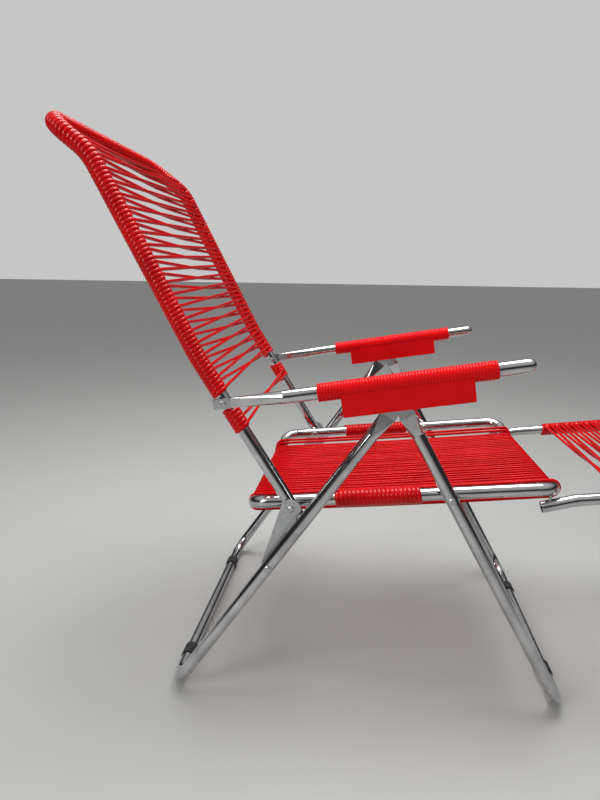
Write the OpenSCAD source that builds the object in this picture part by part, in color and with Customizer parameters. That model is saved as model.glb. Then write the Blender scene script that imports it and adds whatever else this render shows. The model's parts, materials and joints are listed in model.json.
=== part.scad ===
// Folding deck chair: chromed tube frame strung with red cord, notched armrests that set the
// recline of the back, and a hook-on footrest that stands on its own folding leg.
// Millimetres. +X is the front (footrest end), +Y the sitter's left, +Z up, floor at z = 0.

/* [Tube] */
// Outer diameter of the chair's frame tube
tube_d = 22; // [21:0.5:23]
// Wall of the frame tube
tube_wall = 1.2; // [1:0.1:1.6]
// Bend radius of the leg frames
leg_bend_r = 45; // [35:1:60]

/* [Widths] */
// Half the distance between the seat rails, centre to centre
seat_half = 222.5; // [200:0.5:250]
// Spacer between a seat rail and the front leg beside it
spacer_t = 3.5; // [3:0.5:5]
// Gap between parts that turn past each other
side_gap = 0.4; // [0.3:0.1:0.6]
// Gap round a rivet or pin in its hole
fit = 0.05; // [0.03:0.01:0.08]
// Gap between parts that rest on each other
seat_gap = 0.2; // [0.1:0.05:0.3]

/* [Legs] */
// Height of the pivot that joins front and rear legs
apex_h = 564; // [540:1:590]
// Distance along the floor from the leg pivot back to the rear crossbar
rear_run = 382; // [350:1:420]
// Distance along the floor from the leg pivot forward to the front crossbar
front_run = 310; // [280:1:340]
// Thickness of the flattened leg ends
tab_t = 6; // [5:0.5:7]
// Radius of the rounded end of a flattened leg
tab_r = 8.5; // [7.5:0.5:9]
// Width of a leg where it is flattened
tab_w = 27; // [24:1:30]
// Length of the flattened leg end below its pivot
tab_len = 30; // [26:1:36]
// Length over which the leg goes from flat to round
tab_taper = 40; // [35:1:50]
// Diameter of the pin that joins the legs
axle_d = 7; // [6:0.5:8]
// Half the distance between the rear rubber feet
rear_foot_half = 183; // [150:1:200]
// Half the distance between the front rubber feet
front_foot_half = 147; // [130:1:170]
// Rubber under the crossbar
foot_wall = 2.5; // [2:0.5:4]
// Length of a rubber foot
foot_len = 28; // [20:1:36]

/* [Linkage] */
// Distance from the leg pivot down the front leg to the seat rivet
front_rivet_run = 194.5; // [190:0.5:200]
// Distance from the leg pivot down the rear leg to the link rivet
rear_rivet_run = 365; // [360:0.5:372]
// Distance between the two rivets of a link plate
link_len = 108; // [104:0.5:112]
// Turn of a link plate from the rear leg it stands on, in degrees
link_lean = 15.25; // [12:0.25:18]
// Thickness of a link plate
plate_t = 2; // [1.5:0.25:2.5]
// Width of a link plate at its lower end
plate_low_w = 28; // [24:1:32]
// Width of a link plate at its upper end
plate_top_w = 34; // [30:1:38]
// Length of the lip that stops the link plate against the rear leg
lip_len = 26; // [18:1:32]
// Distance of the lip from the upper rivet
lip_top = 10; // [6:1:14]
// Diameter of the rivets
rivet_d = 6; // [5:0.5:7]
// Diameter of the rivet heads
head_d = 12; // [10:0.5:13]
// Height of the rivet heads
head_t = 2.4; // [2:0.1:2.8]

/* [Seat] */
// Distance from the rear seat rivet forward to the front cross tube
seat_front = 445; // [430:1:460]
// Distance from the rear seat rivet back to the rear cross tube
seat_rear = 76; // [70:1:90]
// Drop of the cross tubes below the rails
seat_dip = 27; // [20:1:32]
// Half the length of the level middle of the cross tubes
dip_half = 150; // [140:1:160]
// Bend radius of the seat frame
seat_bend_r = 30; // [28:1:36]
// Diameter of the strung cord
cord_d = 6; // [5:0.5:6.5]
// Distance between neighbouring seat cords
seat_pitch = 12; // [10:0.5:15]
// Distance from the rear seat rivet to the wound grip on the rail
grip_from = 73; // [60:1:90]
// Length of the wound grip
grip_len = 154; // [120:1:160]

/* [Back] */
// Lean of the lower back rails from upright
back_lean = 32.5; // [28:0.5:36]
// Straight length of a back rail from its rivet to the first bend
back_low = 287; // [275:1:300]
// Straight length of a back rail between its two bends
back_mid = 327; // [300:1:350]
// Straight length of a back rail above the second bend, up to the top bar
back_top = 70; // [66:1:85]
// Forward bend of the rails at the first bend
back_bend = 5; // [2:0.5:8]
// Radius of the first bend
back_bend_r = 300; // [200:5:400]
// Backward sweep of the rails at the second bend
back_sweep = 24.5; // [15:0.5:30]
// Radius of the second bend
back_sweep_r = 100; // [80:5:140]
// Radius of the top corners
back_corner_r = 55; // [45:1:60]
// Length of a back rail below its rivet
back_tail = 17; // [15:1:20]
// Thickness of the plugs in the lower ends of the back rails
plug_t = 2; // [1.5:0.5:3]
// Distance from the rear rivet up the back rail to the armrest rivet
arm_pivot_run = 213.5; // [205:0.5:220]
// Distance from the rear rivet up to the start of the winding
wind_from = 154; // [146:1:162]
// Bare length of rail on each side of the armrest rivet
wind_bare = 10.5; // [10:0.5:16]
// Rail length between neighbouring crossing cords
cross_pitch = 22; // [20:1:28]

/* [Winding] */
// Rail length taken by one turn of the winding
wind_pitch = 9.2; // [9:0.1:12]
// Thickness of the winding on a tube
wind_t = 4.2; // [3.8:0.1:4.6]
// Depth of the groove between neighbouring turns
groove = 1.6; // [1.2:0.1:1.8]
// Depth to which a crossing cord runs into a winding
cord_sink = 1; // [0.6:0.1:1.4]

/* [Armrest] */
// Length of an armrest from its rivet to its tip
arm_len = 495; // [480:1:510]
// Thickness of the flattened rear end of an armrest
arm_tab_t = 6; // [5:0.5:7]
// Width of the flattened rear end of an armrest
arm_tab_w = 17; // [16:0.5:20]
// Length of the flattened rear end in front of its rivet
arm_tab_len = 14; // [12:1:18]
// Length of the flattened rear end behind its rivet
arm_tab_back = 16; // [13:0.5:18]
// Length over which the armrest goes from flat to round
arm_taper = 90; // [70:1:110]
// Distance from the armrest rivet to the ribbed sleeve
sleeve_from = 160; // [140:1:180]
// Length of the ribbed sleeve
sleeve_len = 279; // [265:1:290]
// Outer radius of the ribbed sleeve
sleeve_r = 15; // [14.5:0.25:15.5]
// Length of one rib of the sleeve
rib_pitch = 4.8; // [4:0.1:6]
// Depth of the grooves between ribs
rib_depth = 0.9; // [0.6:0.1:1.2]
// Distance of the leg pin below the armrest's centre line
rack_drop = 29.7; // [29:0.1:31]
// Play of an armrest on its rivet, by which it follows the leg pin
arm_play = 2.3; // [2.2:0.05:2.4]
// Turn of the armrest for one degree of recline
arm_turn = 0.3; // [0.28:0.01:0.32]
// Recline towards upright, in degrees
recline_up = 5; // [3:1:5]
// Recline towards lying, in degrees
recline_down = 15; // [12:1:15]
// Number of notches in a rack
notches = 6; // [4:1:7]
// Sheet thickness of the rack
rack_t = 1.5; // [1:0.25:2]
// Depth of the notches in the rack
notch_depth = 1.5; // [1:0.25:2]
// Height of the rack that shows below the cover
rack_show = 1; // [0.5:0.5:2]
// Diameter of the rack screws
screw_d = 4; // [3:0.5:4.5]
// Height of the screw heads
screw_head = 1.4; // [1:0.1:1.6]
// Distance of the rack screws from the ends of the cover
screw_in = 8; // [7:0.5:10]
// Distance from the armrest rivet to the cover under the sleeve
cover_from = 196; // [190:1:205]
// Length of the cover
cover_len = 205; // [195:1:215]
// Distance of the cover's lower edge below the armrest's centre line
cover_drop = 42.5; // [40:0.5:45]
// Wall of the cover
cover_wall = 1.7; // [1.5:0.1:2]

/* [Footrest] */
// Diameter of the footrest tube
foot_tube_d = 20; // [18:0.5:21]
// Half the distance between the footrest rails
foot_half = 215; // [205:0.5:217]
// Distance of the footrest hinge behind the seat's front cross tube
hook_back = 10; // [8:1:14]
// Drop of the footrest hinge below the seat rails
hook_drop = 33; // [31:0.5:38]
// Diameter of the hook pin
hook_d = 4.5; // [4:0.25:5]
// Depth of the hook pin below the footrest hinge
hook_end = 6; // [4:0.5:7]
// Length of the footrest rails behind the hinge
foot_tail = 14; // [12:0.5:18]
// Tilt range of the footrest
foot_tilt = 35; // [20:1:38]
// Rise of the footrest rails at the hinge
foot_rise = 16; // [12:1:20]
// Length of the rising end of the footrest rails
foot_rise_len = 45; // [40:1:60]
// Radius of the bend after the rising end
foot_knee_r = 60; // [50:5:80]
// Slope of the footrest beyond the rising end
foot_slope = 7; // [4:0.5:9]
// Length of the footrest from hinge to far bar, along the slope
foot_reach = 480; // [450:1:520]
// Bend radius of the footrest's far corners
foot_bend_r = 50; // [40:1:60]
// Distance from the hinge to the start of the footrest winding
foot_wind_from = 105; // [95:1:120]
// Length of the footrest winding
foot_wind_len = 295; // [270:1:300]
// Diameter of the footrest leg tube
prop_d = 16; // [14:0.5:18]
// Half the distance between the footrest leg's tubes
prop_half = 192; // [180:1:194]
// Distance from the footrest hinge to the leg's pivot
prop_at = 418; // [410:1:420]
// Drop of the leg's pivot below the footrest rail
prop_drop = 19; // [17:0.5:24]
// Splay of the footrest leg from upright
prop_splay = 8; // [4:0.5:12]
// Bend radius of the footrest leg
prop_bend_r = 40; // [30:1:50]
// Length of the footrest leg above its rivet
prop_head = 8; // [7:0.5:10]
// Half the distance between the rubber feet of the footrest leg
prop_foot_half = 120; // [100:1:140]
// Thickness of the lugs that carry the footrest leg
lug_t = 3; // [2.5:0.25:4]
// Width of the lugs
lug_w = 16; // [14:1:20]

/* [Hidden] */
$fn = 48;

chrome = "silver";
zinc = "darkgray";
red = "red";
black = "dimgray";
taper_step = tab_t / 20;
bend_lap = tube_d / 44;
bend_swell = tube_d / 44;
cord_swell = cord_d / 30;
bore_step = 2 * wind_t;
through = 3 * tube_d;
overcut = tube_wall;
pin_washer_d = head_d + rivet_d / 3;
arm_hole_d = rivet_d + 2 * arm_play;
path_steps = 16;
path_over = 5;

// Layers across the chair, from the seat rails out
tube_r = tube_d / 2;
wind_r = tube_r + wind_t;
front_y = seat_half + tube_d + spacer_t;
back_y = seat_half + tube_d + side_gap;
plate_y = max(front_y + tube_r, back_y + wind_r) + side_gap;
rear_y = plate_y + plate_t + side_gap + tube_r;
arm_tab_y = back_y + wind_r + side_gap;
arm_y = arm_tab_y + sleeve_r;
arm_tube = arm_tab_len + arm_taper;
tab_step = (tab_t + 2 * side_gap) / 2;
cover_half = sleeve_r - rib_depth;
rack_half = cover_half - cover_wall - seat_gap;

// Side view: points are [x, z] and directions are degrees above +X
bar_z = tube_r + foot_wall;
apex = [0, apex_h];
rear_foot = [-rear_run, bar_z];
front_foot = [front_run, bar_z];
function direction(a, b) = atan2(b[1] - a[1], b[0] - a[0]);
function along(p, dir, run) = p + run * [cos(dir), sin(dir)];
function turned(p, centre, a) = let (d = p - centre)
    centre + [d[0] * cos(a) - d[1] * sin(a), d[0] * sin(a) + d[1] * cos(a)];
rear_dir = direction(apex, rear_foot);
front_dir = direction(apex, front_foot);
rear_len = norm(rear_foot - apex);
front_len = norm(front_foot - apex);
seat_pin = along(apex, front_dir, front_rivet_run);
link_pin = along(apex, rear_dir, rear_rivet_run);
link_dir = rear_dir + 180 + link_lean;
back_pin = along(link_pin, link_dir, link_len);
seat_dir = direction(back_pin, seat_pin);
back_dir = 90 + back_lean;
arm_pin = along(back_pin, back_dir, arm_pivot_run);
arm_dir = direction(arm_pin, apex) + asin(rack_drop / norm(apex - arm_pin));

// Tube runs as a bender makes them: [feed, roll, bend, radius], the roll as seen along the tube
function leg_run(len, half) = [[len - leg_bend_r, 90, 90, leg_bend_r],
    [2 * half - 2 * leg_bend_r, 90, 90, leg_bend_r], [len - leg_bend_r, 0, 0, 0]];
tab_end = tab_len + tab_taper;
rear_steps = leg_run(rear_len - tab_end, rear_y);
front_steps = leg_run(front_len - tab_end, front_y);
dip_a = atan2(seat_dip, seat_half - dip_half);
knee = seat_bend_r * tan(dip_a / 2);
seat_rail = seat_front + seat_rear;
seat_slope_run = norm([seat_half - dip_half, seat_dip]) - seat_bend_r - knee;
seat_half_run = seat_rail / 2 - seat_bend_r;
seat_cross = [[seat_slope_run, 180 - dip_a, dip_a, seat_bend_r],
    [2 * dip_half - 2 * knee, 180 - dip_a, dip_a, seat_bend_r],
    [seat_slope_run, 90 - dip_a, 90, seat_bend_r]];
seat_corner = [90 - dip_a, 90, seat_bend_r];
seat_steps = concat([concat([seat_half_run], seat_corner)], seat_cross,
    [concat([2 * seat_half_run], seat_corner)], seat_cross, [[seat_half_run, 0, 0, 0]]);
back_steps = [[back_tail + back_low, 0, back_bend, back_bend_r],
    [back_mid, 180, back_sweep, back_sweep_r],
    [back_top - back_corner_r, 90, 90, back_corner_r],
    [2 * back_y - 2 * back_corner_r, 90, 90, back_corner_r],
    [back_top - back_corner_r, 180, back_sweep, back_sweep_r],
    [back_mid, 0, back_bend, back_bend_r], [back_tail + back_low, 0, 0, 0]];
hook_pin = along(along(back_pin, seat_dir, seat_front - hook_back), seat_dir - 90, hook_drop);
foot_knee = along(hook_pin, foot_rise, foot_rise_len);
foot_far_run = foot_reach - foot_rise_len;
foot_end = along(foot_knee, foot_slope, foot_far_run);
foot_knee_cut = foot_knee_r * tan((foot_rise - foot_slope) / 2);
foot_bend = foot_rise - foot_slope;
foot_r = foot_tube_d / 2;
foot_steps = [[foot_tail + foot_rise_len - foot_knee_cut, 0, foot_bend, foot_knee_r],
    [foot_far_run - foot_knee_cut - foot_bend_r, 90, 90, foot_bend_r],
    [2 * foot_half - 2 * foot_bend_r, 90, 90, foot_bend_r],
    [foot_far_run - foot_knee_cut - foot_bend_r, 0, foot_bend, foot_knee_r],
    [foot_tail + foot_rise_len - foot_knee_cut, 0, 0, 0]];
prop_pin = along(along(foot_knee, foot_slope, prop_at - foot_rise_len), foot_slope - 90, prop_drop);
prop_dir = -90 + prop_splay;
prop_r = prop_d / 2;
prop_len = (prop_pin[1] - prop_r - foot_wall) / cos(prop_splay);
prop_steps = [[prop_head + prop_len - prop_bend_r, 90, 90, prop_bend_r],
    [2 * prop_half - 2 * prop_bend_r, 90, 90, prop_bend_r],
    [prop_head + prop_len - prop_bend_r, 0, 0, 0]];

// Length of a run's steps from the first to the one before i
function run_len(steps, i) = i == 0 ? 0 : run_len(steps, i - 1)
    + steps[i - 1][0] + steps[i - 1][3] * steps[i - 1][2] * PI / 180;
function spun(v, axis, a) = v * cos(a) + cross(axis, v) * sin(a) + axis * (axis * v) * (1 - cos(a));
// Lengths along a run at which its bends begin, end and are divided
function bend_runs(steps) = [for (i = [0:len(steps) - 1]) if (steps[i][2] > 0)
    let (from = run_len(steps, i) + steps[i][0], arc = steps[i][3] * steps[i][2] * PI / 180,
        m = ceil(arc / bore_step))
    for (j = [0:m]) from + arc * j / m];
// Place and axes [origin, x, y, z] at a length along a run that starts at the origin along +Z
function place_at(steps, s, o = [0, 0, 0], x = [1, 0, 0], y = [0, 1, 0], z = [0, 0, 1], i = 0) =
    let (feed = steps[i][0], roll = steps[i][1], r = steps[i][3])
    s <= feed || i == len(steps) - 1 ? [o + s * z, x, y, z] :
    let (arc = r * steps[i][2] * PI / 180,
        a = min((s - feed) / arc, 1) * steps[i][2],
        towards = x * cos(roll) + y * sin(roll),
        axis = y * cos(roll) - x * sin(roll),
        p = o + feed * z + r * (1 - cos(a)) * towards + r * sin(a) * z,
        x2 = spun(x, axis, a), y2 = spun(y, axis, a), z2 = spun(z, axis, a))
    s <= feed + arc ? [p, x2, y2, z2] : place_at(steps, s - feed - arc, p, x2, y2, z2, i + 1);

// Top bar of the back and the chair's extent along X, which sets the origin half-way
rail_top = run_len(back_steps, 2) + back_steps[2][0];
top_lean = back_lean - back_bend + back_sweep;
function back_to_side(v) = v[0] * [cos(back_lean), sin(back_lean)]
    + v[2] * [-sin(back_lean), cos(back_lean)];
back_foot = along(back_pin, back_dir, -back_tail);
top_bar = along(back_foot + back_to_side(place_at(back_steps, rail_top)[0]), 90 + top_lean, back_corner_r);
x_mid = (foot_end[0] + foot_r + bend_swell / 2 + top_bar[0] - wind_r) / 2;

// Centre about which an armrest turns as it follows the back and slides over the leg pin
arm_move = turned(arm_pin, back_pin, recline_down) - arm_pin;
arm_pole = arm_pin + arm_move / 2 + [-arm_move[1], arm_move[0]] / (2 * tan(arm_turn * recline_down / 2));
// Axle of the leg pin as seen from the armrest, [run, drop], for a recline of a degrees
function axle_from_arm(a) = let (reach = turned(apex, arm_pole, -arm_turn * a) - arm_pin)
    [reach * [cos(arm_dir), sin(arm_dir)], reach * [sin(arm_dir), -cos(arm_dir)]];

// Shapes shared by several parts
module both() {
    children();
    mirror([0, 1, 0]) children();
}
module flipped() mirror([0, 1, 0]) children();
// Local +Z runs in a direction of the side view, local +X lies below it
module aim(p, dir, y = 0) translate([p[0] - x_mid, y, p[1]]) rotate([0, 90 - dir, 0]) children();
// Local +Z runs out across the chair on its left side
module pin_at(p, y = 0) translate([p[0] - x_mid, y, p[1]]) rotate([-90, 0, 0]) children();

// Straight lengths run a little into the bends, which are a hair thicker
module bent_tube(steps, d, i = 0) {
    if (i < len(steps)) {
        feed = steps[i][0];
        roll = steps[i][1];
        bend = steps[i][2];
        r = steps[i][3];
        lap = i == 0 ? 0 : bend_lap;
        translate([0, 0, -lap]) cylinder(d = d, h = feed + lap + (bend > 0 ? bend_lap : 0));
        if (bend > 0)
            translate([0, 0, feed]) rotate([0, 0, roll]) {
                translate([r, 0, 0]) rotate([90, 0, 180]) rotate_extrude(angle = bend, $fn = 96)
                    translate([r, 0]) circle(d = d + bend_swell);
                translate([r, 0, 0]) rotate([0, bend, 0]) translate([-r, 0, 0]) rotate([0, 0, -roll])
                    bent_tube(steps, d, i + 1);
            }
    }
}
// Rivet along +Z from z0 to z1 with a head on each end
module rivet(z0, z1, d = rivet_d, heads = [true, true]) {
    translate([0, 0, z0]) cylinder(d = d, h = z1 - z0);
    if (heads[1]) translate([0, 0, z1]) rivet_head();
    if (heads[0]) translate([0, 0, z0]) rotate([180, 0, 0]) rivet_head();
}
module rivet_head() rotate_extrude()
    polygon([[0, 0], [head_d / 2, 0], [head_d / 2, head_t * 0.4], [head_d / 3, head_t], [0, head_t]]);
module rivet_hole(d = rivet_d) translate([0, 0, -through]) cylinder(d = d + 2 * fit, h = 2 * through);
module ring(outer, inner, h) difference() {
    cylinder(d = outer, h = h);
    translate([0, 0, -overcut]) cylinder(d = inner, h = h + 2 * overcut);
}
// Rubber clip round a crossbar that lies along Y
module foot_clip(bar_d) rotate([90, 0, 0]) translate([0, 0, -foot_len / 2])
    ring(bar_d + 2 * foot_wall, bar_d + 2 * seat_gap, foot_len);

// Flattened end of a leg: pin at the origin, leg along +Z, flat part shifted across by offset
module leg_tab(offset) {
    translate([0, offset, 0]) rotate([90, 0, 0]) linear_extrude(tab_t, center = true) {
        circle(r = tab_r);
        polygon([[-tab_r, 0], [tab_r, 0], [tab_w / 2, tab_len], [-tab_w / 2, tab_len]]);
    }
    flat_to_round(tab_w, tab_t, offset, tab_len, tab_end);
}
// Blend from a flattened end to the round tube, a step inside both
module flat_to_round(w, t, offset, from, to) hull() {
    translate([0, offset, from - taper_step])
        cube([w - 2 * taper_step, t - 2 * taper_step, taper_step], center = true);
    translate([0, 0, to + taper_step])
        cylinder(d = tube_d - 2 * taper_step, h = taper_step, $fn = 32);
}
module leg_frame(dir, steps, y, tab_y, pins) color(chrome) difference() {
    union() {
        aim(along(apex, dir, tab_end), dir, -y) bent_tube(steps, tube_d);
        both() aim(apex, dir, y) leg_tab(tab_y - y);
    }
    aim(along(apex, dir, tab_end + tube_wall), dir, -y) hollow(steps, tube_wall);
    both() pin_at(apex, tab_y) rivet_hole(axle_d);
    both() pin_at(pins, y) rivet_hole();
}
// Inside of a tube whose two ends stay closed for one wall
module hollow(steps, wall) {
    last = len(steps) - 1;
    inner = [for (i = [0:last]) [steps[i][0] - (i == 0 || i == last ? wall : 0),
        steps[i][1], steps[i][2], steps[i][3]]];
    bent_tube(inner, tube_d - 2 * wall);
}

// A tight winding: a sleeve along a run whose ridge climbs as one unbroken helix
module winding(steps, s0, s1, core_r, sides = 8) {
    bore = (core_r + seat_gap + (len(steps) > 1 ? bend_swell / 2 : 0)) / cos(180 / sides);
    low = core_r + wind_t - groove;
    turns = floor((s1 - s0) / wind_pitch - 1);
    n = sides * turns;
    end = s0 + wind_pitch * (turns + 1);
    bore_s = concat([s0],
        [for (s = bend_runs(steps)) if (s > s0 + seat_gap && s < end - seat_gap) s], [end]);
    parts = len(bore_s) - 1;
    function on(s, k, r) = let (f = place_at(steps, s), a = 360 * k / sides)
        f[0] + r * (f[1] * cos(a) + f[2] * sin(a));
    function ridge_s(k) = s0 + wind_pitch * (k / sides + 0.5);
    function next(k) = (k + 1) % sides;
    function quad(a, b, c, d) = [[a, b, c], [a, c, d]];
    ridge = [for (k = [0:n]) on(ridge_s(k), k, low + groove * min(1, k / sides, (n - k) / sides))];
    valley = [for (k = [0:n - sides]) on(ridge_s(k) + wind_pitch / 2, k, low)];
    first = [for (k = [0:sides - 1]) on(s0, k, low)];
    last = [for (k = [0:sides - 1]) on(end, k, low)];
    inner = [for (s = bore_s, k = [0:sides - 1]) on(s, k, bore)];
    v = len(ridge);
    f = v + len(valley);
    l = f + sides;
    i = l + sides;
    top = i + parts * sides;
    faces = [
        for (k = [0:n - sides - 1]) each quad(k, v + k, v + k + 1, k + 1),
        for (k = [0:n - sides - 1]) each quad(v + k, k + sides, k + sides + 1, v + k + 1),
        for (k = [0:sides - 1]) each quad(f + k, k, k + 1, f + next(k)),
        for (k = [n - sides:n - 1]) each quad(k, l + k % sides, l + next(k), k + 1),
        [sides, v, 0], [sides, 0, f],
        [n - sides, v + n - sides, n], [n - sides, n, l],
        for (k = [0:sides - 1]) each quad(i + k, f + k, f + next(k), i + next(k)),
        for (k = [0:sides - 1]) each quad(l + k, top + k, top + next(k), l + next(k)),
        for (j = [0:parts - 1], k = [0:sides - 1]) each quad(i + j * sides + k, i + j * sides + next(k),
            i + (j + 1) * sides + next(k), i + (j + 1) * sides + k)
    ];
    polyhedron(concat(ridge, valley, first, last, inner), faces);
    echo("least distance between neighbouring turns of a winding",
        min([for (k = [0:n - sides]) norm(ridge[k + sides] - ridge[k])]));
}
// Straight cord from a to b
module strand(a, b) {
    d = b - a;
    translate(a) rotate([0, acos(d[2] / norm(d)), atan2(d[1], d[0])])
        cylinder(d = cord_d, h = norm(d), $fn = 16);
}
// Half turn of cord, between two points of the level it leaves, bulging up or down the local Z axis
module half_turn(a, b, up) {
    d = b - a;
    translate((a + b) / 2) rotate([0, 0, atan2(d[1], d[0])]) rotate([up ? 90 : -90, 0, 180])
        rotate_extrude(angle = 180) translate([norm(d) / 2, 0]) circle(d = cord_d + cord_swell, $fn = 16);
}
// Cords that cross from one rail to the other, each a step higher or lower at its far end
module cross_cords(steps, from, to, half, core_r, lift, rising) {
    inset = sqrt(pow(core_r + wind_t, 2) - lift * lift) - cord_sink;
    count = floor((to - from) / cross_pitch);
    for (i = [0:count - 1]) {
        near = place_at(steps, from + (rising ? i : i + 1) * cross_pitch);
        far = place_at(steps, from + (rising ? i + 1 : i) * cross_pitch);
        strand(near[0] + lift * near[1] + [0, inset, 0],
            far[0] + lift * far[1] + [0, 2 * half - inset, 0]);
    }
}

// Legs
module rear_leg_frame() leg_frame(rear_dir, rear_steps, rear_y, arm_y + tab_step, link_pin);
module front_leg_frame() leg_frame(front_dir, front_steps, front_y, arm_y - tab_step, seat_pin);
module rear_feet() color(black) both() aim(rear_foot, 90, rear_foot_half) foot_clip(tube_d);
module front_feet() color(black) both() aim(front_foot, 90, front_foot_half) foot_clip(tube_d);
module leg_axles() color(zinc) both() pin_at(apex, arm_y)
    translate([0, 0, -rack_half]) cylinder(d = axle_d, h = 2 * rack_half);
module link_rivets() color(zinc) both() pin_at(link_pin)
    rivet(plate_y - seat_gap, rear_y + tube_r + seat_gap);
module seat_rivets() color(zinc) both() pin_at(seat_pin)
    rivet(seat_half - tube_r - seat_gap, front_y + tube_r + seat_gap);
module seat_spacers() color("white") both() pin_at(seat_pin, seat_half + tube_r + seat_gap)
    ring(pin_washer_d, rivet_d + 2 * fit, spacer_t - 2 * seat_gap);

// Link plates that carry the rear of the seat
module link_plate() color(zinc) difference() {
    union() {
        aim(link_pin, link_dir, plate_y) rotate([90, 0, 0]) translate([0, 0, -plate_t])
            linear_extrude(plate_t) {
                circle(d = plate_low_w);
                translate([0, link_len]) circle(d = plate_top_w);
                polygon([[-plate_low_w / 2, 0], [plate_low_w / 2, 0],
                    [plate_top_w / 2, link_len], [-plate_top_w / 2, link_len]]);
            }
        aim(link_pin, rear_dir + 180, plate_y)
            translate([-tube_r - side_gap - plate_t, 0, link_len - lip_len - lip_top])
                cube([plate_t, rear_y - plate_y, lip_len]);
    }
    pin_at(link_pin, plate_y) rivet_hole();
    pin_at(back_pin, plate_y) rivet_hole();
}
module link_plate_left() link_plate();
module link_plate_right() flipped() link_plate();
module link_stud() color(zinc) pin_at(back_pin)
    rivet(plate_y, plate_y + plate_t + seat_gap, rivet_d, [false, true]);
module link_stud_left() link_stud();
module link_stud_right() flipped() link_stud();

// Seat
module on_seat(run, y = 0) aim(along(back_pin, seat_dir, run), seat_dir, y) children();
module seat_frame() color(chrome) difference() {
    on_seat(seat_rail / 2 - seat_rear, -seat_half) bent_tube(seat_steps, tube_d);
    on_seat(seat_rail / 2 - seat_rear, -seat_half) bent_tube(seat_steps, tube_d - 2 * tube_wall);
    both() pin_at(seat_pin, seat_half) rivet_hole();
    both() pin_at(back_pin, seat_half) rivet_hole();
}
// Loops of the seat cord, and the drop of the cross tubes' axis at a distance y from the middle
wrap_r = tube_r / cos(dip_a) + seat_gap + cord_d / 2;
seat_count = floor(2 * (seat_half - seat_bend_r - cord_d) / seat_pitch);
function dip_at(y) = min(seat_dip, (seat_half - abs(y)) * tan(dip_a));
// The seat is one cord wound over and under both cross tubes
function over(y, z) = [dip_at(y) - wrap_r, y, z];
function under(y, z) = [dip_at(y) + wrap_r, y, z];
module seat_cords() color(red) on_seat(0) for (i = [0:seat_count - 1]) {
    y = (i - seat_count / 2 + 0.25) * seat_pitch;
    half = y + seat_pitch / 2;
    strand(over(y, -seat_rear - bend_lap), over(y, seat_front + bend_lap));
    half_turn(over(y, seat_front), under(half, seat_front), true);
    strand(under(half, -seat_rear - bend_lap), under(half, seat_front + bend_lap));
    if (i < seat_count - 1)
        half_turn(under(half, -seat_rear), over(y + seat_pitch, -seat_rear), false);
}
module seat_grip() color(red) on_seat(grip_from, seat_half)
    winding([[grip_len, 0, 0, 0]], 0, grip_len, tube_r);
module seat_grip_left() seat_grip();
module seat_grip_right() flipped() seat_grip();
// Inner ends of the rivets that carry the back
module seat_studs() color(zinc) both() pin_at(back_pin)
    rivet(seat_half - tube_r - seat_gap, seat_half + tube_r, rivet_d, [true, false]);
// Upright pin from under the seat's front corner down into the end of a footrest rail
corner_drop = seat_bend_r * (1 - cos(asin(1 - hook_back / seat_bend_r))) * sin(dip_a);
hook_top = hook_drop - corner_drop - (tube_r + bend_swell / 2) / cos(dip_a) - side_gap;
module footrest_hooks() color(zinc) both()
    translate([hook_pin[0] - x_mid, foot_half, hook_pin[1] - hook_end])
        cylinder(d = hook_d, h = hook_end + hook_top);

// Back
module on_back() aim(back_foot, back_dir, -back_y) children();
module back_rivets() color(zinc) both() pin_at(back_pin)
    rivet(back_y - tube_r, back_y + tube_r + seat_gap, rivet_d, [false, true]);
module back_frame() color(chrome) difference() {
    on_back() bent_tube(back_steps, tube_d);
    on_back() bent_tube(back_steps, tube_d - 2 * tube_wall);
    both() pin_at(back_pin, back_y) rivet_hole();
    both() pin_at(arm_pin, back_y) rivet_hole();
}
module back_plugs() color(black) both() aim(along(back_foot, back_dir, -plug_t), back_dir, back_y) {
    cylinder(d = tube_d, h = plug_t - seat_gap);
    cylinder(d = tube_d - 2 * tube_wall - 2 * seat_gap, h = plug_t + back_tail - rivet_d);
}
module back_winding() color(red) on_back() {
    winding(back_steps, back_tail + wind_from, back_tail + arm_pivot_run - wind_bare, tube_r);
    winding(back_steps, back_tail + arm_pivot_run + wind_bare, rail_top, tube_r);
}
module back_winding_right() back_winding();
module back_winding_left() flipped() back_winding();
module back_winding_top() color(red) on_back()
    winding(back_steps, rail_top, run_len(back_steps, 4), tube_r);
module back_cords(lift, rising) color(red) on_back() {
    cross_cords(back_steps, back_tail + wind_from + cord_d, back_tail + arm_pivot_run - wind_bare,
        back_y, tube_r, lift, rising);
    cross_cords(back_steps, back_tail + arm_pivot_run + wind_bare + cord_d, rail_top,
        back_y, tube_r, lift, rising);
}
module back_cords_front() back_cords(wind_r - cord_d / 2, true);
module back_cords_rear() back_cords(wind_r - 1.5 * cord_d - side_gap, false);

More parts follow.
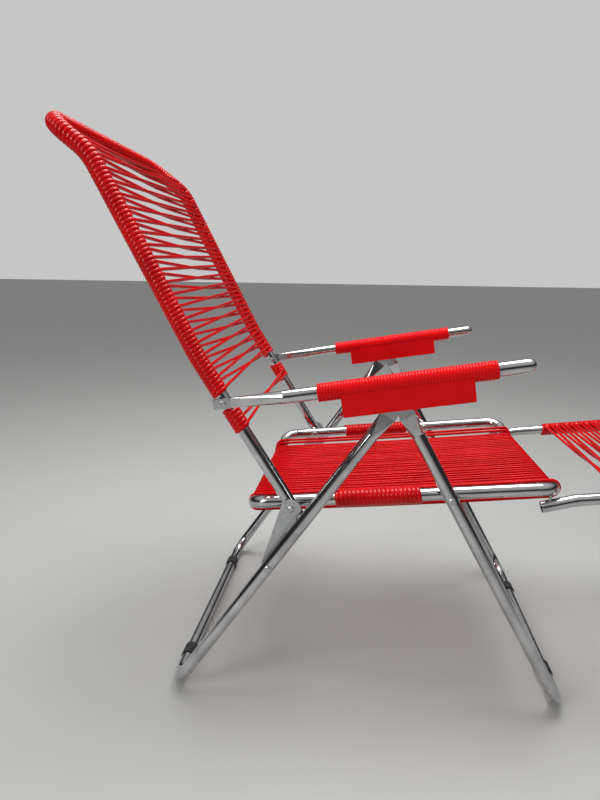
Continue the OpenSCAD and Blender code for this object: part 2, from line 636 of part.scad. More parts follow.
// Armrests
module on_arm(run = 0) aim(along(arm_pin, arm_dir, run), arm_dir, arm_y) children();
module arm_rivets() color(zinc) both() pin_at(arm_pin)
    rivet(back_y - tube_r - seat_gap, arm_tab_y + arm_tab_t + seat_gap);
module arm_washers() color("white") both() pin_at(arm_pin, back_y + tube_r + seat_gap)
    ring(pin_washer_d, arm_hole_d, arm_tab_y - back_y - tube_r - 2 * seat_gap);
module armrest_tube() color(chrome) difference() {
    union() {
        on_arm(arm_tube) cylinder(d = tube_d, h = arm_len - tube_r - arm_tube);
        on_arm(arm_len - tube_r) sphere(d = tube_d);
        on_arm(-arm_tab_back) translate([-arm_tab_w / 2, arm_tab_y - arm_y, 0])
            cube([arm_tab_w, arm_tab_t, arm_tab_back + arm_tab_len]);
        on_arm() flat_to_round(arm_tab_w, arm_tab_t, arm_tab_y - arm_y + arm_tab_t / 2,
            arm_tab_len, arm_tube);
    }
    on_arm(arm_tube + tube_wall) cylinder(d = tube_d - 2 * tube_wall, h = arm_len - tube_d - arm_tube);
    pin_at(arm_pin, arm_y) rivet_hole(arm_hole_d);
    rack_screw(screw_d + 2 * fit);
}
module armrest_sleeve() color(red) difference() {
    count = floor(sleeve_len / rib_pitch);
    on_arm(sleeve_from) rotate_extrude() polygon(concat(
        [[tube_r + seat_gap, 0]],
        [for (i = [0:count - 1], p = [[rib_depth, 0], [0, 0.3], [0, 0.7]])
            [sleeve_r - p[0], (i + p[1]) * rib_pitch]],
        [[sleeve_r - rib_depth, count * rib_pitch], [tube_r + seat_gap, count * rib_pitch]]));
    rack_screw(screw_d + 2 * fit);
}
// Screws from the rack up through the sleeve into the tube
module rack_screw(d, head = false) for (run = [screw_in, cover_len - screw_in]) {
    top = tube_r - 2 * tube_wall;
    low = sleeve_r + 2 * seat_gap + rack_t;
    on_arm(cover_from + run) translate([top, 0, 0]) rotate([0, 90, 0]) {
        cylinder(d = d, h = low - top);
        if (head) translate([0, 0, low - top]) cylinder(d = 2 * d, h = screw_head);
    }
}
module rack_screws() color(zinc) rack_screw(screw_d, true);
// The rack is a channel whose notched edge follows the leg pin as the back reclines
module rack() color(zinc) difference() {
    top = sleeve_r + seat_gap;
    low = cover_drop + rack_show;
    ends = [cover_from + cover_wall + seat_gap, cover_from + cover_len - cover_wall - seat_gap];
    reach = axle_d / 2 + side_gap;
    path_turn = recline_up + recline_down + 2 * path_over;
    path = [for (i = [0:path_steps])
        axle_from_arm(i * path_turn / path_steps - recline_up - path_over)];
    union() {
        on_arm() translate([top, -rack_half, ends[0]]) cube([rack_t, 2 * rack_half, ends[1] - ends[0]]);
        for (y = [-rack_half + rack_t, rack_half]) on_arm() translate([0, y, 0]) rotate([90, 0, 0])
            linear_extrude(rack_t) difference() {
                polygon(concat([[top, ends[0]], [low, ends[0]], [low, path[0][0] - reach]],
                    [for (p = path) [p[1] - reach, p[0]]],
                    [[low, path[path_steps][0] + reach], [low, ends[1]], [top, ends[1]]]));
                for (i = [0:notches - 1]) {
                    p = axle_from_arm(-recline_up + i * (recline_up + recline_down) / (notches - 1));
                    translate([p[1] - notch_depth, p[0]]) circle(r = reach);
                }
            }
    }
    rack_screw(screw_d + 2 * fit);
}
module rack_cover() color(red) difference() {
    on_arm(cover_from) translate([0, -cover_half, 0]) cube([cover_drop, 2 * cover_half, cover_len]);
    on_arm(cover_from + cover_wall) translate([-overcut, -cover_half + cover_wall, 0])
        cube([cover_drop + 2 * overcut, 2 * cover_half - 2 * cover_wall, cover_len - 2 * cover_wall]);
    on_arm(sleeve_from) cylinder(r = sleeve_r + seat_gap, h = sleeve_len);
}
module armrest_tube_left() armrest_tube();
module armrest_tube_right() flipped() armrest_tube();
module armrest_sleeve_left() armrest_sleeve();
module armrest_sleeve_right() flipped() armrest_sleeve();
module rack_left() rack();
module rack_right() flipped() rack();
module rack_cover_left() rack_cover();
module rack_cover_right() flipped() rack_cover();
module rack_screws_left() rack_screws();
module rack_screws_right() flipped() rack_screws();

// Footrest
slot_w = hook_d + 2 * side_gap;
slot_half = foot_r * tan(max(foot_rise, foot_tilt - foot_rise)) + slot_w;
module on_footrest() aim(along(hook_pin, foot_rise, -foot_tail), foot_rise, -foot_half) children();
module footrest_frame() color(chrome) difference() {
    on_footrest() bent_tube(foot_steps, foot_tube_d);
    on_footrest() bent_tube(foot_steps, foot_tube_d - 2 * tube_wall);
    // Slots that let the rails tilt on their hook pins
    both() on_footrest() translate([-foot_tube_d, -slot_w / 2, foot_tail - slot_half])
        cube([foot_tube_d, slot_w, 2 * slot_half]);
}
module footrest_winding() color(red) on_footrest()
    winding(foot_steps, foot_tail + foot_wind_from, foot_tail + foot_wind_from + foot_wind_len, foot_r, 6);
module footrest_winding_right() footrest_winding();
module footrest_winding_left() flipped() footrest_winding();
module footrest_cords(lift, rising) color(red) on_footrest() cross_cords(foot_steps,
    foot_tail + foot_wind_from + cord_d, foot_tail + foot_wind_from + foot_wind_len - 2 * wind_pitch,
    foot_half, foot_r, lift, rising);
module footrest_cords_upper() footrest_cords(cord_d / 2 - foot_r - wind_t, true);
module footrest_cords_lower() footrest_cords(1.5 * cord_d + side_gap - foot_r - wind_t, false);
// Clamps on the footrest rails with an ear for the leg's rivet
prop_rail = along(foot_knee, foot_slope, prop_at - foot_rise_len);
lug_y = prop_half + prop_r + side_gap;
module footrest_lugs() color(zinc) both() difference() {
    union() {
        aim(prop_rail, foot_slope, foot_half) translate([0, 0, -lug_w / 2])
            cylinder(d = foot_tube_d + 2 * lug_t, h = lug_w);
        aim(prop_rail, foot_slope, lug_y) translate([0, 0, -lug_w / 2]) cube([prop_drop, lug_t, lug_w]);
        pin_at(prop_pin, lug_y) cylinder(d = lug_w, h = lug_t);
    }
    aim(prop_rail, foot_slope, foot_half) translate([0, 0, -lug_w])
        cylinder(d = foot_tube_d + 2 * seat_gap, h = 2 * lug_w);
    pin_at(prop_pin, lug_y) rivet_hole();
}
module on_prop() aim(along(prop_pin, prop_dir, -prop_head), prop_dir, -prop_half) children();
module footrest_leg() color(chrome) difference() {
    on_prop() bent_tube(prop_steps, prop_d);
    on_prop() bent_tube(prop_steps, prop_d - 2 * tube_wall);
    both() pin_at(prop_pin, prop_half) rivet_hole();
}
module footrest_leg_feet() color(black) both() aim(along(prop_pin, prop_dir, prop_len), 90, prop_foot_half)
    foot_clip(prop_d);
module footrest_leg_rivets() color(zinc) both() pin_at(prop_pin)
    rivet(prop_half - prop_r - seat_gap, lug_y + lug_t + seat_gap);

rear_leg_frame();
rear_feet();
leg_axles();
link_rivets();
front_leg_frame();
front_feet();
seat_rivets();
seat_spacers();
link_plate_right();
link_plate_left();
link_stud_right();
link_stud_left();
seat_frame();
seat_cords();
seat_grip_right();
seat_grip_left();
seat_studs();
footrest_hooks();
back_rivets();
back_frame();
back_plugs();
back_winding_right();
back_winding_left();
back_winding_top();
back_cords_front();
back_cords_rear();
arm_rivets();
arm_washers();
armrest_tube_right();
armrest_sleeve_right();
rack_right();
rack_cover_right();
rack_screws_right();
armrest_tube_left();
armrest_sleeve_left();
rack_left();
rack_cover_left();
rack_screws_left();
footrest_frame();
footrest_winding_right();
footrest_winding_left();
footrest_cords_upper();
footrest_cords_lower();
footrest_lugs();
footrest_leg();
footrest_leg_feet();
footrest_leg_rivets();
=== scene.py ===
import json
import math

import bpy
import numpy as np
from mathutils import Matrix, Vector


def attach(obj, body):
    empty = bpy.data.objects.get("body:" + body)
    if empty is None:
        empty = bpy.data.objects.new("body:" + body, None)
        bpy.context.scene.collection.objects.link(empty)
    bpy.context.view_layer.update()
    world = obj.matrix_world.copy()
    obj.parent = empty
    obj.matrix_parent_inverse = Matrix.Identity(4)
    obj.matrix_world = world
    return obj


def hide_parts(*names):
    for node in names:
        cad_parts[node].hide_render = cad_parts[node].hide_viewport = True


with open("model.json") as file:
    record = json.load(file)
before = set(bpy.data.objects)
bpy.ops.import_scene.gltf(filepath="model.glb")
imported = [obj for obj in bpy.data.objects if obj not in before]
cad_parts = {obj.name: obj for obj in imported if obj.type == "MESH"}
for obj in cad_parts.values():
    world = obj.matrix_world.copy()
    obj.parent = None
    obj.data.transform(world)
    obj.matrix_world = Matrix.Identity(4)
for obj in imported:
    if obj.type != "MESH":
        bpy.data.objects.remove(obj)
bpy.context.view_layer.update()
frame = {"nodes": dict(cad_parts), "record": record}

# Sizes of the object in millimetres and degrees, as in the part's source
MM = 0.001
TUBE_R, FOOT_R = 11.0, 10.0
WIND_R, FOOT_WIND_R = 15.2, 14.2
CORD_R = 3.0
CORD_D = 2 * CORD_R
CROSS_PITCH = 22.0
BACK_Y, FOOT_Y, SEAT_Y = 244.9, 215.0, 222.5
X_MID = 80.7415
BACK_PIN = np.array([-172.023, 365.926])
BACK_DIR, SEAT_DIR = 122.5, 6.103
BACK_TAIL, BACK_CORNER_R = 17.0, 55.0
ARM_RIVET, WIND_FROM, WIND_BARE = 213.5, 154.0, 10.5
FOOT_PIN = np.array([264.02, 379.361])
FOOT_RISE, FOOT_TAIL = 16.0, 14.0
FOOT_KNEE, FOOT_KNEE_BEND, FOOT_KNEE_R = 45.0, 9.0, 60.0
FOOT_KNEE_CUT = FOOT_KNEE_R * math.tan(math.radians(FOOT_KNEE_BEND / 2))
FOOT_WIND_FROM, FOOT_WIND_LEN, FOOT_CROSS_STOP = 105.0, 295.0, 18.4
GRIP_FROM, GRIP_LEN = 73.0, 154.0
SEAT_FRONT, SEAT_REAR, SEAT_DIP, DIP_HALF = 445.0, 76.0, 27.0, 150.0
SEAT_PITCH, SEAT_LOOPS, SEAT_GAP = 12.0, 31, 0.2

# Tube runs: feed, roll, bend and radius of each step
BACK_RUN = [(304, 0, 5, 300), (327, 180, 24.5, 100), (15, 90, 90, BACK_CORNER_R),
            (2 * (BACK_Y - BACK_CORNER_R), 90, 90, BACK_CORNER_R), (15, 0, 0, 0)]
FOOT_RUN = [(FOOT_TAIL + FOOT_KNEE - FOOT_KNEE_CUT, 0, FOOT_KNEE_BEND, FOOT_KNEE_R), (385, 0, 0, 0)]
GRIP_RUN = [(GRIP_LEN, 0, 0, 0)]

# Windings: length of a turn, half the width of its cord, how far it sinks into the tube, points in a turn
TURN = CROSS_PITCH / 3
LAP = 0.58 * TURN
WIND_SINK = 0.15
TURN_STEPS = 28
# Crossing cords: degrees round the rail where an end lies, places along the free length, gap and softness
# where two cross
WRAP_AT = np.linspace(-130, -8, 12)
CROSS_AT = np.linspace(0.03, 0.97, 33)
CROSS_GAP, CROSS_SOFT = 0.5, 0.0015
# Seat cord: points in a length, unevenness sideways, sag of the lengths above and below the tubes
LINE_STEPS = 15
JITTER = 0.7
SAG_OVER, SAG_UNDER = (0.8, 2.6), (1.0, 3.2)


# Routes
def run_len(run, count):
    return sum(feed + r * math.radians(bend) for feed, roll, bend, r in run[:count])


def spun(v, axis, a):
    return v * math.cos(a) + np.cross(axis, v) * math.sin(a) + axis * (axis @ v) * (1 - math.cos(a))


def place_at(run, s):
    """Place and axes at a length along a run that starts at the origin along +Z."""
    o, x, y, z = np.zeros(3), *np.eye(3)
    for i, (feed, roll, bend, r) in enumerate(run):
        if s <= feed or i == len(run) - 1:
            return o + s * z, x, y, z
        arc = r * math.radians(bend)
        a = min((s - feed) / arc, 1) * math.radians(bend)
        turn = math.radians(roll)
        towards = x * math.cos(turn) + y * math.sin(turn)
        axis = y * math.cos(turn) - x * math.sin(turn)
        o = o + feed * z + r * (1 - math.cos(a)) * towards + r * math.sin(a) * z
        x, y, z = spun(x, axis, a), spun(y, axis, a), spun(z, axis, a)
        s -= feed + arc
        if s <= 0:
            return o, x, y, z


def aim(pin, direction, y):
    """Matrix of a frame whose +Z runs in a direction of the side view, with +X below it."""
    c, s = math.cos(math.radians(direction)), math.sin(math.radians(direction))
    m = Matrix(((s, 0, c, pin[0] - X_MID), (0, 1, 0, y), (-c, 0, s, pin[1]), (0, 0, 0, 1)))
    return Matrix.Scale(MM, 4) @ m


def along(pin, direction, run):
    a = math.radians(direction)
    return pin + run * np.array([math.cos(a), math.sin(a)])


ON_BACK = aim(along(BACK_PIN, BACK_DIR, -BACK_TAIL), BACK_DIR, -BACK_Y)
ON_FOOT = aim(along(FOOT_PIN, FOOT_RISE, -FOOT_TAIL), FOOT_RISE, -FOOT_Y)
ON_SEAT = aim(BACK_PIN, SEAT_DIR, 0)


# Meshes swept along routes
def transported(path):
    """A direction across a route that doesn't twist along it."""
    tangent = np.gradient(path, axis=0)
    tangent /= np.linalg.norm(tangent, axis=1)[:, None]
    across = np.cross(tangent[0], [0.3, 0.2, 0.9])
    found = []
    for t in tangent:
        across = across - t * (across @ t)
        across = across / np.linalg.norm(across)
        found.append(across)
    return np.array(found)


def sweep(path, half_out, half_along, out=None, sides=10):
    """Vertices and faces of a cord with rounded ends; out is the direction of its first half-width."""
    path = np.asarray(path, float)
    tangent = np.gradient(path, axis=0)
    tangent /= np.linalg.norm(tangent, axis=1)[:, None]
    out = transported(path) if out is None else out
    out = out - tangent * np.sum(out * tangent, axis=1)[:, None]
    out /= np.linalg.norm(out, axis=1)[:, None]
    side = np.cross(tangent, out)
    lead = min(half_out, half_along)
    # Rings of a rounded end: place along the cord and width, as shares of the lead and of the full width
    caps = [(-0.95, 0.3), (-0.6, 0.8)]
    rings = [(path[0] + tangent[0] * lead * d, out[0], side[0], k) for d, k in caps]
    rings += [(p, o, s, 1) for p, o, s in zip(path, out, side)]
    rings += [(path[-1] - tangent[-1] * lead * d, out[-1], side[-1], k) for d, k in reversed(caps)]
    a = np.linspace(0, 2 * math.pi, sides, endpoint=False)
    co, si = np.cos(a)[:, None] * half_out, np.sin(a)[:, None] * half_along
    verts = np.concatenate([c + k * (co * o + si * s) for c, o, s, k in rings])
    n = len(rings)
    faces = []
    for ring in range(n - 1):
        near, far = ring * sides, (ring + 1) * sides
        for k in range(sides):
            after = (k + 1) % sides
            faces.append((near + k, near + after, far + after, far + k))
    faces += [tuple(reversed(range(sides))), tuple((n - 1) * sides + k for k in range(sides))]
    return verts, faces


def mirrored(part, width):
    """The same cord on the other rail, which lies a width away."""
    verts, faces = part
    return verts * [1, -1, 1] + [0, width, 0], [tuple(reversed(f)) for f in faces]


def piece(name, parts, matrix, body, replaced, look):
    """One object made of swept parts, which rides on a body in place of CAD nodes."""
    verts, faces, start = [], [], 0
    for v, f in parts:
        verts.append(v)
        faces += [tuple(i + start for i in face) for face in f]
        start += len(v)
    mesh = bpy.data.meshes.new(name)
    mesh.from_pydata(np.concatenate(verts).tolist(), [], faces)
    mesh.transform(matrix)
    mesh.polygons.foreach_set("use_smooth", [True] * len(mesh.polygons))
    mesh.materials.append(look)
    mesh.update()
    obj = bpy.data.objects.new(name, mesh)
    bpy.context.scene.collection.objects.link(obj)
    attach(obj, body)
    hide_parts(*replaced)


# Windings and crossing cords
def wound(run, s0, s1, wind_r, tube_r, ref=0.0):
    """One cord wound from s0 to s1, which passes the front of the tube at ref and every turn from there."""
    half_out = (wind_r - tube_r) / 2 + WIND_SINK
    n = int((s1 - s0) / TURN * TURN_STEPS)
    path, out = [], []
    for s in np.linspace(s0, s1, n):
        o, x, y, z = place_at(run, s)
        a = 2 * math.pi * (s - ref) / TURN
        d = x * math.cos(a) + y * math.sin(a)
        path.append(o + (wind_r - half_out) * d)
        out.append(d)
    return sweep(np.array(path), half_out, LAP, np.array(out))


def wrap_end(run, s_leave, wind_r, front_sign):
    """Route of a crossing cord's end, from the outer side of the rail to its front."""
    found = []
    for a in WRAP_AT:
        o, x, y, z = place_at(run, s_leave + front_sign * TURN * a / 360)
        r = math.radians(a)
        found.append(o + (wind_r - CORD_R) * (front_sign * x * math.cos(r) + y * math.sin(r)))
    o, x, y, z = place_at(run, s_leave)
    found.append(o + front_sign * (wind_r - CORD_R) * x)
    return np.array(found)


def crossing(run, s_near, s_far, width, wind_r, front_sign, dip):
    """A cord from one rail to the other; dip is how far it passes behind the cord that it crosses."""
    near = wrap_end(run, s_near, wind_r, front_sign)
    far = wrap_end(run, s_far, wind_r, front_sign) * [1, -1, 1] + [0, width, 0]
    start, end = near[-1], far[-1]
    front = front_sign * place_at(run, (s_near + s_far) / 2)[1]
    mid = [start + (end - start) * t - front * dip * (1 - math.sqrt((2 * t - 1) ** 2 + CROSS_SOFT))
           for t in CROSS_AT]
    path = np.concatenate([near, mid, far[::-1]])
    for _ in range(2):
        path[1:-1] = (path[:-2] + 2 * path[1:-1] + path[2:]) / 4
    return sweep(path, CORD_R, CORD_R, sides=12)


def crossings(run, start, end, width, wind_r, front_sign, falling):
    count = int((end - start) / CROSS_PITCH)
    dip = CORD_D + CROSS_GAP if falling else 0
    made = []
    for i in range(count):
        ends = (start + i * CROSS_PITCH + TURN / 2, start + (i + 1) * CROSS_PITCH - TURN / 2)
        near, far = reversed(ends) if falling else ends
        made.append(crossing(run, near, far, width, wind_r, front_sign, dip))
    return made


# Materials
def material(name, base, metallic, roughness, ior=1.5):
    mat = bpy.data.materials.new(name)
    mat.use_nodes = True
    shader = mat.node_tree.nodes["Principled BSDF"]
    shader.inputs["Base Color"].default_value = (*base, 1)
    shader.inputs["Metallic"].default_value = metallic
    shader.inputs["Roughness"].default_value = roughness
    shader.inputs["IOR"].default_value = ior
    return mat, mat.node_tree, shader


def add(tree, kind, **values):
    node = tree.nodes.new(kind)
    for key, value in values.items():
        if key in node.inputs:
            node.inputs[key].default_value = value
        else:
            setattr(node, key, value)
    return node


def ramp(tree, source, stops):
    node = tree.nodes.new("ShaderNodeValToRGB")
    els = node.color_ramp.elements
    while len(els) < len(stops):
        els.new(0.5)
    for el, (at, colour) in zip(els, stops):
        el.position = at
        el.color = (*colour, 1)
    tree.links.new(source, node.inputs[0])
    return node.outputs[0]


def noise(tree, scale, detail=3.0, rough=0.5):
    coords = add(tree, "ShaderNodeTexCoord").outputs["Object"]
    node = add(tree, "ShaderNodeTexNoise", Scale=scale, Detail=detail, Roughness=rough)
    tree.links.new(coords, node.inputs["Vector"])
    return node.outputs["Fac"]


def bump(tree, shader, source, strength, distance):
    node = add(tree, "ShaderNodeBump", Strength=strength, Distance=distance)
    tree.links.new(source, node.inputs["Height"])
    tree.links.new(node.outputs[0], shader.inputs["Normal"])


def grey(v):
    return (v, v, v)


def chrome():
    mat, tree, shader = material("chrome_tube", (0.7, 0.71, 0.72), 1.0, 0.1)
    tint = ramp(tree, noise(tree, 14, 6, 0.65), [
        (0.32, (0.40, 0.40, 0.405)), (0.68, (0.66, 0.66, 0.665))])
    tree.links.new(tint, shader.inputs["Base Color"])
    rough = ramp(tree, noise(tree, 60, 6, 0.65), [(0.35, grey(0.05)), (0.75, grey(0.18))])
    tree.links.new(rough, shader.inputs["Roughness"])
    bump(tree, shader, noise(tree, 160, 3, 0.55), 0.05, 0.0004)
    return mat


def zinc():
    mat, tree, shader = material("zinc_steel", (0.5, 0.51, 0.52), 0.9, 0.4)
    cells = add(tree, "ShaderNodeTexVoronoi", Scale=260.0)
    tree.links.new(add(tree, "ShaderNodeTexCoord").outputs["Object"], cells.inputs["Vector"])
    tint = ramp(tree, cells.outputs["Color"], [(0.2, (0.46, 0.47, 0.475)), (0.8, (0.56, 0.565, 0.57))])
    tree.links.new(tint, shader.inputs["Base Color"])
    rough = ramp(tree, noise(tree, 120, 4, 0.6), [(0.3, grey(0.28)), (0.75, grey(0.5))])
    tree.links.new(rough, shader.inputs["Roughness"])
    bump(tree, shader, noise(tree, 700, 3, 0.6), 0.12, 0.0003)
    return mat


def vinyl(name, dark, light, smooth, dull, grain, shine):
    mat, tree, shader = material(name, light, 0.0, smooth, 1.47)
    shader.inputs["Specular IOR Level"].default_value = shine
    tint = ramp(tree, noise(tree, 22, 4, 0.55), [(0.3, dark), (0.7, light)])
    tree.links.new(tint, shader.inputs["Base Color"])
    rough = ramp(tree, noise(tree, 90, 4, 0.6), [(0.3, grey(smooth)), (0.75, grey(dull))])
    tree.links.new(rough, shader.inputs["Roughness"])
    bump(tree, shader, noise(tree, grain, 3, 0.5), 0.04, 0.0002)
    return mat


def rubber():
    mat, tree, shader = material("black_rubber", (0.02, 0.02, 0.02), 0.0, 0.65)
    tint = ramp(tree, noise(tree, 70, 5, 0.65), [(0.35, grey(0.012)), (0.75, grey(0.05))])
    tree.links.new(tint, shader.inputs["Base Color"])
    rough = ramp(tree, noise(tree, 150, 3), [(0.3, grey(0.5)), (0.7, grey(0.8))])
    tree.links.new(rough, shader.inputs["Roughness"])
    bump(tree, shader, noise(tree, 500, 4, 0.6), 0.25, 0.0005)
    return mat


def nylon():
    mat, tree, shader = material("white_nylon", (0.72, 0.71, 0.67), 0.0, 0.45)
    tint = ramp(tree, noise(tree, 80, 4, 0.6), [(0.3, (0.6, 0.585, 0.54)), (0.7, (0.76, 0.75, 0.72))])
    tree.links.new(tint, shader.inputs["Base Color"])
    rough = ramp(tree, noise(tree, 200, 3), [(0.3, grey(0.38)), (0.7, grey(0.55))])
    tree.links.new(rough, shader.inputs["Roughness"])
    bump(tree, shader, noise(tree, 600, 2), 0.06, 0.0003)
    return mat


CORD = vinyl("red_cord", (0.46, 0.001, 0.003), (0.62, 0.002, 0.004), 0.12, 0.22, 350, 0.26)
# The seat is the same cord, in a copy with less shine: its darker red is painted shade
SHADED_SEAT_CORD = vinyl("red_cord_seat_shaded", (0.44, 0.001, 0.003), (0.58, 0.002, 0.004), 0.2, 0.32, 350, 0.1)
PLASTIC = vinyl("red_plastic", (0.64, 0.002, 0.004), (0.76, 0.003, 0.005), 0.24, 0.38, 500, 0.16)
finish = {
    "chrome_tube": chrome(),
    "zinc_steel": zinc(),
    "red_cord": CORD,
    "red_plastic": PLASTIC,
    "black_rubber": rubber(),
    "white_nylon": nylon(),
}

# Each CAD node takes the finish of its slot in the record; the cords are replaced below
for part in frame["record"]["subparts"]:
    mesh = frame["nodes"][part["node"]].data
    mesh.materials.clear()
    mesh.materials.append(finish[part["material_slot"]])

# Back: wound rails, wound top bar and crossing cords
rivet = BACK_TAIL + ARM_RIVET
rail_top = run_len(BACK_RUN, 2) + BACK_RUN[2][0]
low, high = (BACK_TAIL + WIND_FROM, rivet - WIND_BARE), (rivet + WIND_BARE, rail_top)
low_ref, high_ref = low[0] + CORD_D + TURN / 2, high[0] + CORD_D + TURN / 2
back_right = [wound(BACK_RUN, low[0] + LAP, low[1] - LAP, WIND_R, TUBE_R, low_ref),
              wound(BACK_RUN, high[0] + LAP, high[1], WIND_R, TUBE_R, high_ref)]
back_left = [mirrored(p, 2 * BACK_Y) for p in back_right]
piece("wound_back_right", back_right, ON_BACK, "back", ["back_winding_right"], CORD)
piece("wound_back_left", back_left, ON_BACK, "back", ["back_winding_left"], CORD)
top = wound(BACK_RUN, rail_top, run_len(BACK_RUN, 4), WIND_R, TUBE_R, high_ref)
piece("wound_back_top", [top], ON_BACK, "back", ["back_winding_top"], CORD)
for name, falling, replaced in (("crossing_back_front", False, "back_cords_front"),
                                ("crossing_back_rear", True, "back_cords_rear")):
    cords = crossings(BACK_RUN, low[0] + CORD_D, low[1], 2 * BACK_Y, WIND_R, 1, falling)
    cords += crossings(BACK_RUN, high[0] + CORD_D, high[1], 2 * BACK_Y, WIND_R, 1, falling)
    piece(name, cords, ON_BACK, "back", [replaced], CORD)

# Footrest: wound rails and crossing cords, which lie on the upper side
foot = (FOOT_TAIL + FOOT_WIND_FROM, FOOT_TAIL + FOOT_WIND_FROM + FOOT_WIND_LEN)
foot_ref = foot[0] + CORD_D + TURN
foot_right = wound(FOOT_RUN, foot[0] + LAP, foot[1] - LAP, FOOT_WIND_R, FOOT_R, foot_ref)
piece("wound_footrest_right", [foot_right], ON_FOOT, "footrest", ["footrest_winding_right"], CORD)
piece("wound_footrest_left", [mirrored(foot_right, 2 * FOOT_Y)], ON_FOOT, "footrest",
      ["footrest_winding_left"], CORD)
for name, falling, replaced in (("crossing_footrest_upper", False, "footrest_cords_upper"),
                                ("crossing_footrest_lower", True, "footrest_cords_lower")):
    cords = crossings(FOOT_RUN, foot[0] + CORD_D, foot[1] - FOOT_CROSS_STOP, 2 * FOOT_Y, FOOT_WIND_R, -1,
                      falling)
    piece(name, cords, ON_FOOT, "footrest", [replaced], CORD)

# Seat: one cord wound over and under both cross tubes, and a wound grip on each rail
rng = np.random.default_rng(7)
dip_slope = SEAT_DIP / (SEAT_Y - DIP_HALF)
wrap_r = TUBE_R * math.hypot(1, dip_slope) + SEAT_GAP + CORD_R


def seat_level(y):
    return min(SEAT_DIP, (SEAT_Y - abs(y)) * dip_slope)


def seat_line(y, side, sag):
    """A length of seat cord from the rear tube to the front one; side is -1 above the tubes and 1 below."""
    t = np.linspace(0, 1, LINE_STEPS)
    z = -SEAT_REAR + t * (SEAT_FRONT + SEAT_REAR)
    x = seat_level(y) + side * wrap_r + sag * 4 * t * (1 - t)
    return np.stack([x, np.full_like(t, y), z], 1)


def half_turn(a, b, forward):
    centre, d = (a + b) / 2, (b - a) / 2
    r = np.linalg.norm(d)
    return [centre - d * math.cos(w) + forward * r * math.sin(w) * np.array([0, 0, 1.0])
            for w in np.linspace(0, math.pi, LINE_STEPS)[1:-1]]


route = []
for i in range(SEAT_LOOPS):
    y = (i - SEAT_LOOPS / 2 + 0.25) * SEAT_PITCH
    over = seat_line(y + rng.uniform(-JITTER, JITTER), -1, rng.uniform(*SAG_OVER))
    under = seat_line(y + SEAT_PITCH / 2 + rng.uniform(-JITTER, JITTER), 1, rng.uniform(*SAG_UNDER))[::-1]
    if route:
        route += half_turn(route[-1], over[0], -1)
    route += list(over)
    route += half_turn(over[-1], under[0], 1)
    route += list(under)
seat_cord = sweep(np.array(route), CORD_R, CORD_R, sides=12)
# The seat cord wears the darker copy of the cord, whose red is painted shade
piece("cord_seat", [seat_cord], ON_SEAT, "seat", ["seat_cords"], SHADED_SEAT_CORD)
grip = wound(GRIP_RUN, LAP, GRIP_LEN - LAP, WIND_R, TUBE_R)
grip_pin = along(BACK_PIN, SEAT_DIR, GRIP_FROM)
for hand, y, part in (("right", -SEAT_Y, grip), ("left", SEAT_Y, mirrored(grip, 0))):
    piece(f"wound_grip_{hand}", [part], aim(grip_pin, SEAT_DIR, y), "seat", [f"seat_grip_{hand}"], CORD)


# Floor, background, lamps and camera
def add_floor(half, colour, rough):
    mesh = bpy.data.meshes.new("floor")
    corners = [(x * half, y * half, 0) for x, y in ((-1, -1), (1, -1), (1, 1), (-1, 1))]
    mesh.from_pydata(corners, [], [(0, 1, 2, 3)])
    mesh.materials.append(material("floor", colour, 0.0, rough)[0])
    obj = bpy.data.objects.new("floor", mesh)
    bpy.context.scene.collection.objects.link(obj)


add_floor(40, (0.44, 0.445, 0.435), 0.6)
world = bpy.data.worlds.new("studio")
bpy.context.scene.world = world
world.use_nodes = True
sky = world.node_tree
background = sky.nodes["Background"]
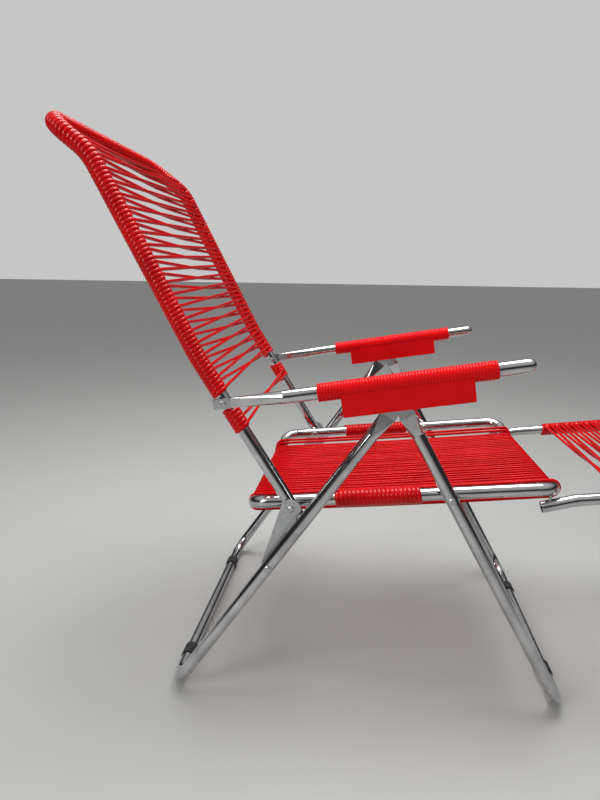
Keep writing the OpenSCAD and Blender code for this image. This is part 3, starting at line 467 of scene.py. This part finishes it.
# Pale to the camera and dimmer to matt surfaces; glossy ones see a dark horizon under a bright ceiling
place = add(sky, "ShaderNodeTexCoord").outputs["Generated"]
axes = add(sky, "ShaderNodeSeparateXYZ")
sky.links.new(place, axes.inputs[0])
height = add(sky, "ShaderNodeMapRange")
height.inputs["From Min"].default_value = -1
sky.links.new(axes.outputs["Z"], height.inputs["Value"])
seen = ramp(sky, height.outputs["Result"], [
    (0.35, grey(0.20)), (0.46, grey(0.03)), (0.66, grey(0.05)), (0.74, grey(0.40)), (0.9, grey(0.75))])
pale = add(sky, "ShaderNodeRGB").outputs[0]
pale.default_value = (0.70, 0.71, 0.70, 1)
fill = add(sky, "ShaderNodeRGB").outputs[0]
fill.default_value = (0.56, 0.565, 0.56, 1)
ray = add(sky, "ShaderNodeLightPath")
# Colour sockets of a mix node
MIX_A, MIX_B, MIX_OUT = 6, 7, 2
source = fill
for kind, colour in (("Is Glossy Ray", seen), ("Is Camera Ray", pale)):
    mix = add(sky, "ShaderNodeMix", data_type="RGBA")
    sky.links.new(ray.outputs[kind], mix.inputs[0])
    sky.links.new(source, mix.inputs[MIX_A])
    sky.links.new(colour, mix.inputs[MIX_B])
    source = mix.outputs[MIX_OUT]
sky.links.new(source, background.inputs["Color"])
background.inputs["Strength"].default_value = 0.8


def lamp(name, place, target, size, power):
    data = bpy.data.lights.new(name, "AREA")
    data.shape = "RECTANGLE"
    data.size, data.size_y = size
    data.energy = power
    obj = bpy.data.objects.new(name, data)
    obj.location = place
    obj.rotation_euler = (Vector(target) - Vector(place)).to_track_quat("-Z", "Y").to_euler()
    bpy.context.scene.collection.objects.link(obj)


lamp("overhead", (-0.1, 0.3, 2.6), (0, 0, 0.4), (1.8, 1.4), 64)
lamp("front_left", (-2.2, -2.4, 2.0), (0, 0, 0.5), (1.0, 1.6), 38)

# Camera as solved from the photograph: place in metres, turns in radians, lens in millimetres
camera_place = (-0.1397, -1.1664, 0.7591)
yaw, pitch, roll = -0.1098, -0.2188, 0.0135
lens, sensor = 25.8, 36
forward = Vector((math.sin(yaw) * math.cos(pitch), math.cos(yaw) * math.cos(pitch), math.sin(pitch)))
right = forward.cross(Vector((0, 0, 1))).normalized()
up = right.cross(forward)
side = math.cos(roll) * right + math.sin(roll) * up
rise = -math.sin(roll) * right + math.cos(roll) * up
camera = bpy.data.objects.new("camera", bpy.data.cameras.new("camera"))
turn = Matrix((side, rise, -forward)).transposed()
camera.matrix_world = Matrix.Translation(camera_place) @ turn.to_4x4()
camera.data.lens = lens
camera.data.sensor_width = sensor
bpy.context.scene.collection.objects.link(camera)
bpy.context.scene.camera = camera
bpy.context.scene.view_settings.view_transform = "Standard"
